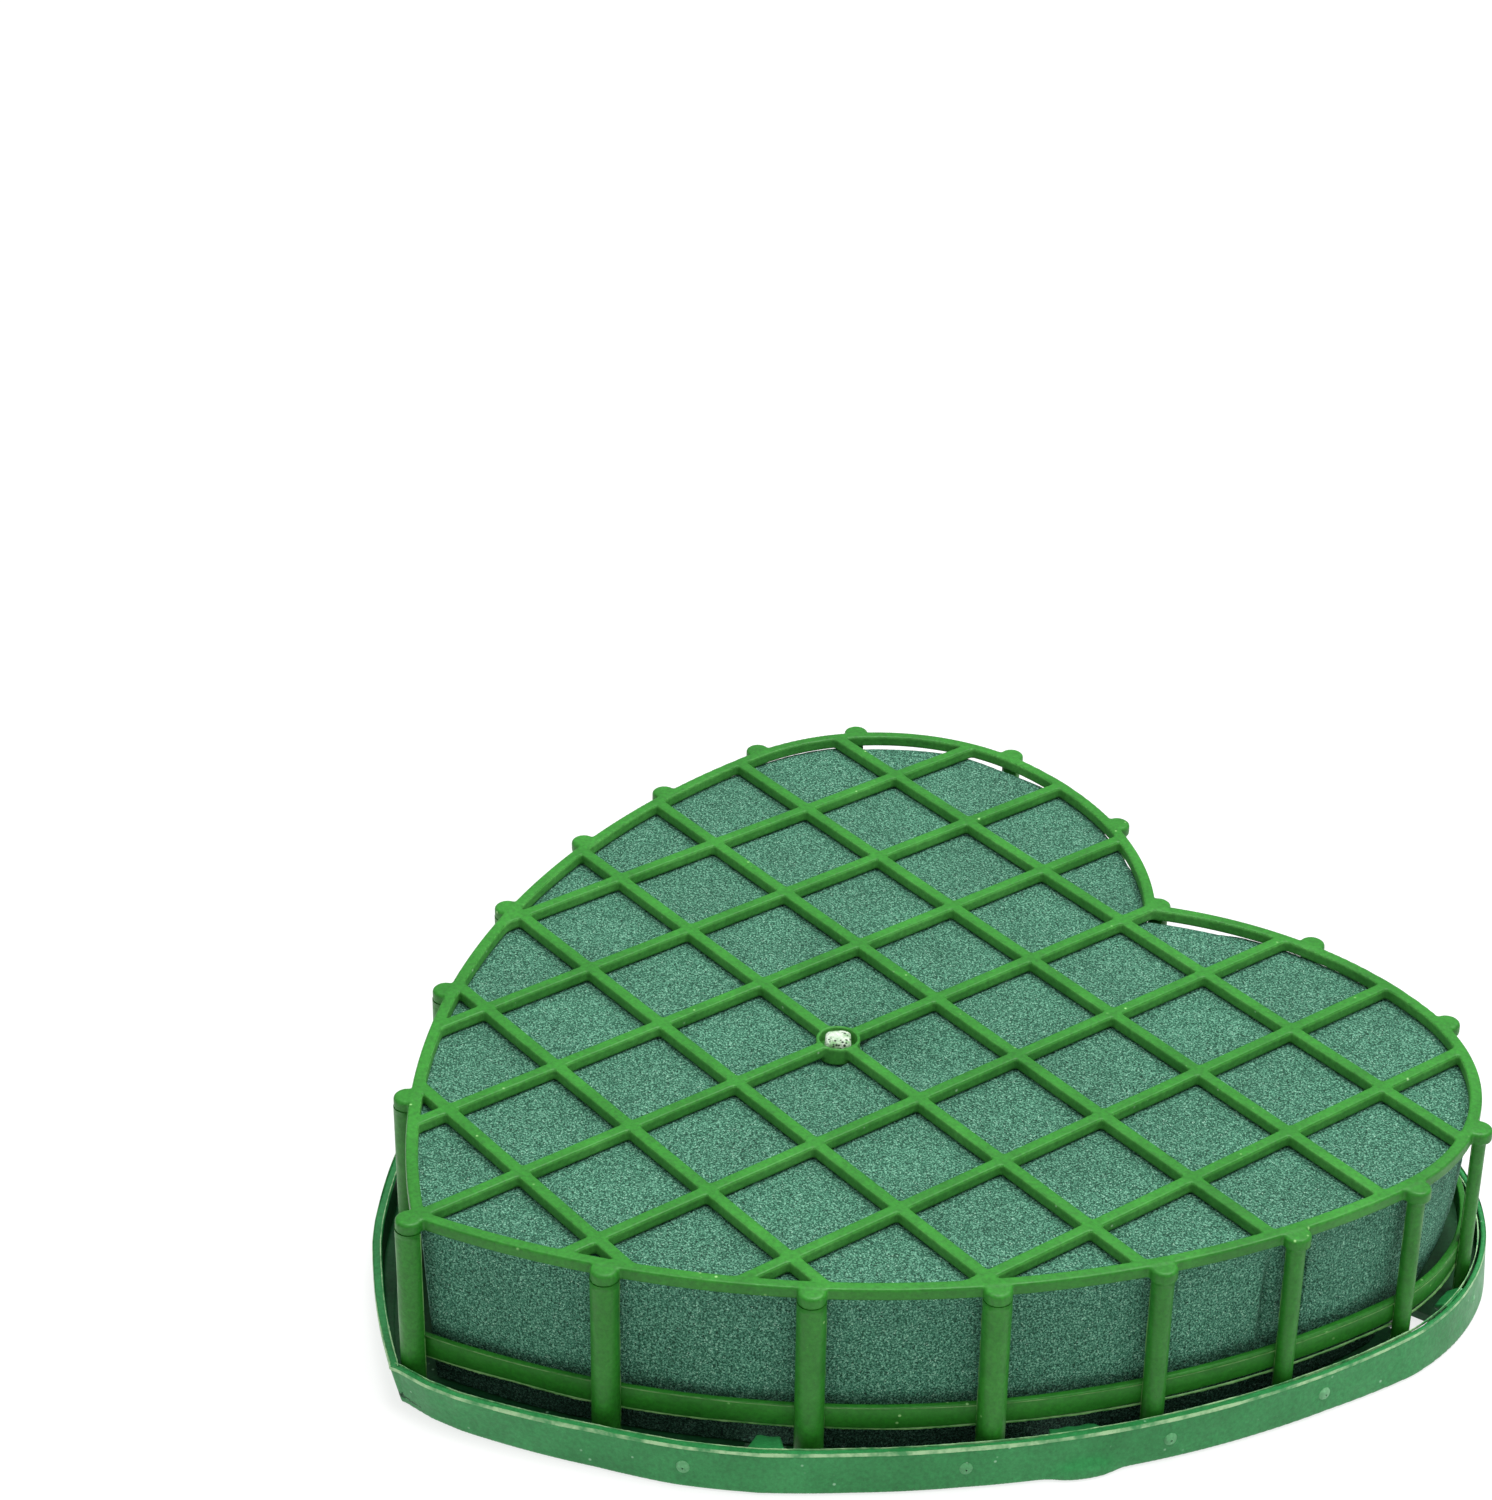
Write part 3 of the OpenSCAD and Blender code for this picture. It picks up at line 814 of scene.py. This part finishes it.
def build_tray():
    """The wall with its pads and the rim of the floor, and then the floor as a plate."""
    step, spare = 0.3, 2.5
    field = Field([*(wall_low[:2] - spare), -1.0], [*(wall_high[:2] + spare), WALL_H + 1.2], step)
    x, y, z = (a.astype(np.float32) for a in field.axes)
    x2, y2 = x[:, None], y[None, :]
    d, share = heart_field(x2, y2, TRAY_SHIFT)
    # a small radius on the sharp corner at the tip
    r = TIP_ROUND
    top = MID[1] - TRAY_SHIFT + FLANK_C[1] - math.sqrt((FLANK_R + WALL_OUT - r) ** 2 - FLANK_C[0] ** 2)
    lean = math.atan2(top - MID[1] + TRAY_SHIFT - FLANK_C[1], -FLANK_C[0])
    wedge = np.arctan2(y2 - top, np.abs(x2)) < lean
    d_out = np.where(wedge, np.hypot(x2, y2 - top) - r + WALL_OUT, d)
    d_out = (d_out - wall_set(x2, share)).astype(np.float32)[:, :, None]
    d_in = (d - inner_set(x2, share)).astype(np.float32)[:, :, None]
    h = z[None, None, :]
    flare = wall_flare(x2, share).astype(np.float32)[:, :, None]
    # the wall's height wavers a little
    crest = 0.12 * np.sin(share * 23 + np.sign(x2)) + 0.08 * np.sin(share * 61 + 2 * np.sign(x2))
    crest = (WALL_H - 0.1 + 0.5 * crest * (share > 0.02)).astype(np.float32)[:, :, None]
    outer = rounded(d_out - WALL_OUT - flare * (1 - h / WALL_H), -h, 0.4)
    outer = np.maximum(outer, h - crest)
    inner = smooth_max(d_in - WALL_IN, FLOOR_T - h, 0.5)
    field.value = smooth_max(outer, -inner, 0.16).astype(np.float32)
    # only a strip of the floor belongs to this piece
    strip = 1.2
    field.value = np.maximum(field.value, strip - d.astype(np.float32)[:, :, None]).astype(np.float32)

    def local(p, facing, reach, low, high):
        """Block round a point, with u outward, v along the wall and the height."""
        cut, bx, by, bz = field.block([*(p - reach), low], [*(p + reach), high])
        n = ray(facing)
        u = (bx - p[0]) * n[0] + (by - p[1]) * n[1]
        v = -(bx - p[0]) * n[1] + (by - p[1]) * n[0]
        return cut, u, v, bz

    pad_out, pad_half, pad_h = 1.1, 4.6, 2.2
    for p, facing, _ in both_sides(PAD_SITES, WALL_OUT, TRAY_SHIFT):
        cut, u, v, bh = local(p, facing, 8, -1, 5)
        pad = np.sqrt((u / pad_out) ** 2 + (v / pad_half) ** 2 + ((bh - 0.6) / pad_h) ** 2) - 1
        pad = np.maximum(np.maximum(pad * pad_out, -bh), -u - 1.4)
        field.value[cut] = smooth_min(field.value[cut], pad.astype(np.float32), 0.8)
    for at, length in WINDOWS:
        for p, facing, _ in both_sides([at], WALL_IN, TRAY_SHIFT, weight=0.9):
            cut, u, v, _ = local(p, facing, 10, -1, FLOOR_T + 1.5)
            hole = np.maximum(np.abs(u + WINDOW_W / 2) - WINDOW_W / 2, np.abs(v) - length / 2)
            field.value[cut] = smooth_max(field.value[cut], -hole.astype(np.float32), 0.15)
    # nothing goes below the table
    field.value = np.maximum(field.value, -h).astype(np.float32)
    verts, faces = field.surface()
    obj = mesh_object("tray_shell", verts, faces)
    finish_piece(obj, "tray", "tray_plastic", TRAY, "tray_wall", "edge_pads")
    # the inside below the lip is painted dark: painted shade between the wall and the foam
    centre = face_data(obj)[0]
    d, share = heart_field(centre[:, 0], centre[:, 1], TRAY_SHIFT)
    inside = d - inner_set(centre[:, 0], share) < WALL_IN + 0.3
    second_material(obj, TRAY_PAINTED_SHADE, inside & (centre[:, 2] > FLOOR_T - 0.2) & (centre[:, 2] < WALL_H - 0.7))
    # the floor, notched over the windows, in the same painted shade colour
    loop = corner_loop(strip + 0.25, shift=TRAY_SHIFT, step=0.4)
    for at, length in WINDOWS:
        for p, facing, _ in both_sides([at], WALL_IN, TRAY_SHIFT, weight=0.9):
            n_dir = ray(facing)
            u, v = (loop - p) @ n_dir, (loop - p) @ [-n_dir[1], n_dir[0]]
            inside = (np.abs(v) < length / 2) & (np.abs(u) < 12)
            loop[inside] -= n_dir * (u[inside] + WINDOW_W)[:, None]
    n = len(loop)
    verts = np.concatenate([np.c_[loop, np.full(n, 0.12)], np.c_[loop, np.full(n, FLOOR_T - 0.04)]])
    faces = [[i, (i + 1) % n, n + (i + 1) % n, n + i] for i in range(n)]
    faces += [list(range(n))[::-1], list(range(n, 2 * n))]
    obj = mesh_object("tray_floor_plate", verts, faces, smooth=False)
    finish_piece(obj, "tray", "tray_plastic", TRAY_PAINTED_SHADE, "tray_floor")


def build_lugs():
    """Snap lugs: short tongues from the top of the wall, falling towards the cage, with torn edges."""
    verts, faces, count = [], [], 0
    for at, length in LUGS:
        for p, facing, side in both_sides([at], BAND_OUT + LUG_GAP, weight=0.0):
            here = float(wall_set(np.array(side), at))
            reach = WALL_IN - BAND_OUT - LUG_GAP - TRAY_SHIFT * ray(facing)[1] + here + 0.5
            field = Field([-0.8, -length / 2 - 1, WALL_H - 3],
                          [reach + 0.8, length / 2 + 1, WALL_H + 0.8], 0.2)
            u, v, h = (a.reshape([-1 if i == k else 1 for i in range(3)]) for k, a in enumerate(field.axes))
            slant = 0.25 * (reach - u)
            body = smooth_max(np.abs(v) - length / 2 + slant, np.maximum(-u, u - reach), 0.2)
            fall = 1.25 * np.clip(1 - u / (reach - 0.5), 0, 1)
            crest = WALL_H - 0.25 - fall + 0.10 * np.sin(2.1 * v + 5 * at)
            body = smooth_max(body, h - crest, 0.2)
            body = smooth_max(body, WALL_H - 2.2 - h, 0.2)
            field.value = body.astype(np.float32)
            q, f = field.surface()
            n = ray(facing)
            verts.append(np.c_[p + q[:, :1] * n + q[:, 1:2] * [-n[1], n[0]], q[:, 2]])
            faces.append(f + count)
            count += len(q)
    obj = mesh_object("tray_lugs", np.concatenate(verts), np.concatenate(faces))
    finish_piece(obj, "tray", "tray_plastic", TRAY, "snap_lugs")


def build_pips():
    """Low domes on the outside of the wall, their skin painted paler as a painted highlight."""
    verts, faces, count = [], [], 0
    rings, turns, sweep = 7, 20, 1.45
    for k, (p, facing, _) in enumerate(both_sides(PIP_SITES, WALL_OUT, TRAY_SHIFT)):
        r = np.random.default_rng(600 + k)
        n = ray(facing)
        for i in range(rings):
            t = i / (rings - 1)
            wide = 1.05 * math.cos(t * sweep) * (1 + 0.08 * r.random())
            tall = -0.25 + 0.72 * math.sin(t * sweep)
            for j in range(turns):
                a = 2 * math.pi * j / turns
                v, h = wide * math.cos(a), wide * math.sin(a) * 1.1
                verts.append([p[0] + tall * n[0] - v * n[1], p[1] + tall * n[1] + v * n[0], WALL_H / 2 + h])
        faces += [[count + i for i in f] for f in capped_faces(rings, turns)]
        count += rings * turns
    obj = mesh_object("tray_pips", verts, faces)
    finish_piece(obj, "tray", "tray_plastic", TRAY_PIP_HIGHLIGHT, "wall_pips")


# How much of the ridge is left on the right and on the left
WEAR_RIGHT = [(0, 0.2), (0.38, 0.2), (0.46, 0.7), (0.6, 1.0), (1, 1.0)]
WEAR_LEFT = [(0, 0.3), (0.75, 0.35), (0.93, 0.4), (0.98, 1.0), (1, 1.0)]


def build_tray_flash():
    """The bright ragged ridge left along the outer upper edge of the wall, and a finer one inside it."""
    verts, faces = [], []
    count = 0
    for out, least, most, seed in ((WALL_OUT, 0.14, 0.32, 41), (WALL_IN + 0.25, 0.03, 0.09, 51)):
        tip, wider_tip = (TIP_ROUND, TIP_ROUND + 1.0) if out == WALL_OUT else (0.3, 0.3)
        base = set_loop(corner_loop(out, shift=TRAY_SHIFT, step=0.3, tip_round=tip))
        wider = set_loop(corner_loop(out + 1.0, shift=TRAY_SHIFT, step=0.3, tip_round=wider_tip))
        n = len(base)
        r = np.random.default_rng(seed)
        step_up = (smooth_noise(n, 26, seed + 1) > 0.25) * r.uniform(0.5, 1.0)
        waves = 0.5 * np.abs(smooth_noise(n, 11, seed + 2)) + 0.6 * step_up
        wide = least + (most - least) * np.clip(waves, 0, 1) + 0.05 * r.random(n)
        share = heart_field(base[:, 0], base[:, 1], TRAY_SHIFT)[1]
        if out == WALL_OUT:
            wide = wide * read_sides(WEAR_RIGHT, WEAR_LEFT, base[:, 0], share)
        tall = 0.10 + 0.10 * np.abs(smooth_noise(n, 14, seed + 3)) + 0.06 * r.random(n)
        normal = wider - base
        low = -0.05 - 0.5 * (wide - least)
        if out == WALL_OUT:
            rows = [(-wide, np.full(n, -0.25)), (-wide * 0.9, tall * 0.6), (np.full(n, -0.05), tall),
                    (np.full(n, 0.06), low - 0.25), (np.full(n, -0.1), low - 0.35)]
        else:
            foot = np.full(n, -0.3)
            rows = [(-wide, foot), (-wide, tall * 0.7), (wide, tall * 0.7), (wide, foot)]
        verts += [np.c_[base + normal * np.asarray(a)[:, None], WALL_H - 0.1 + b] for a, b in rows]
        faces.append(grid_faces(len(rows), n, close_rows=True) + count)
        count += len(rows) * n
    obj = mesh_object("tray_flash_line", np.concatenate(verts), np.concatenate(faces), smooth=False)
    finish_piece(obj, "tray", "tray_plastic", TRAY_FLASH)


build_lattice()
build_stub()
build_posts()
build_mid_band()
build_cage_flash()
build_foam()
build_tray()
build_lugs()
build_pips()
build_tray_flash()


# ---------------------------------------------------------------- stage, light and camera
def build_stage():
    bpy.ops.mesh.primitive_plane_add(size=8)
    floor = bpy.context.object
    floor.name = "studio_floor"
    n = Nodes("studio_white")
    colour = n.ramp(n.noise(3, 2), [(0.4, (0.24, 0.24, 0.24)), (0.6, (0.26, 0.26, 0.26))])
    n.shader.inputs["Roughness"].default_value = 0.9
    n.shader.inputs["Emission Color"].default_value = (1, 1, 1, 1)
    n.shader.inputs["Emission Strength"].default_value = 0.75
    floor.data.materials.append(n.finish(colour))
    floor.location.z = -0.0002
    world = bpy.data.worlds.new("studio")
    world.use_nodes = True
    tree = world.node_tree
    back = tree.nodes["Background"]
    back.inputs["Strength"].default_value = 1.0
    # a soft sky: bright overhead, dim towards the horizon
    split = tree.nodes.new("ShaderNodeSeparateXYZ")
    tree.links.new(tree.nodes.new("ShaderNodeTexCoord").outputs["Generated"], split.inputs["Vector"])
    fade = tree.nodes.new("ShaderNodeValToRGB")
    fade.color_ramp.elements[0].position = 0.1
    fade.color_ramp.elements[0].color = (0.32, 0.32, 0.32, 1)
    fade.color_ramp.elements[1].position = 0.9
    fade.color_ramp.elements[1].color = (0.85, 0.85, 0.85, 1)
    tree.links.new(split.outputs["Z"], fade.inputs["Fac"])
    tree.links.new(fade.outputs["Color"], back.inputs["Color"])
    bpy.context.scene.world = world


def area_light(name, spot, target, size, power):
    lamp = bpy.data.lights.new(name, "AREA")
    lamp.shape = "DISK"
    lamp.size = size
    lamp.energy = power
    obj = bpy.data.objects.new(name, lamp)
    obj.location = spot
    obj.rotation_euler = (Vector(target) - Vector(spot)).to_track_quat("-Z", "Y").to_euler()
    bpy.context.scene.collection.objects.link(obj)


def build_camera():
    """The photograph's camera, found from the square grid of bars."""
    place_mm = np.array([361.7, -291.8, 313.4]) + [MID[0], MID[1], TOP_Z]
    right = Vector((0.59824, 0.80126, 0.00924))
    down = Vector((0.39801, -0.28711, -0.87130))
    ahead = Vector((-0.69548, 0.52493, -0.49067))
    cam = bpy.data.cameras.new("photo_camera")
    cam.sensor_fit = "HORIZONTAL"
    cam.sensor_width = 36.0
    cam.lens = 85.49
    cam.clip_start = 0.01
    obj = bpy.data.objects.new("photo_camera", cam)
    turn = Matrix((right, -down, -ahead)).transposed()
    obj.matrix_world = Matrix.Translation(Vector(place_mm * MM)) @ turn.to_4x4()
    bpy.context.scene.collection.objects.link(obj)
    bpy.context.scene.camera = obj


build_stage()
area_light("key", (0.1, 0.25, 1.1), (0, 0, 0), 1.0, 17)
build_camera()
bpy.context.scene.view_settings.view_transform = "Standard"
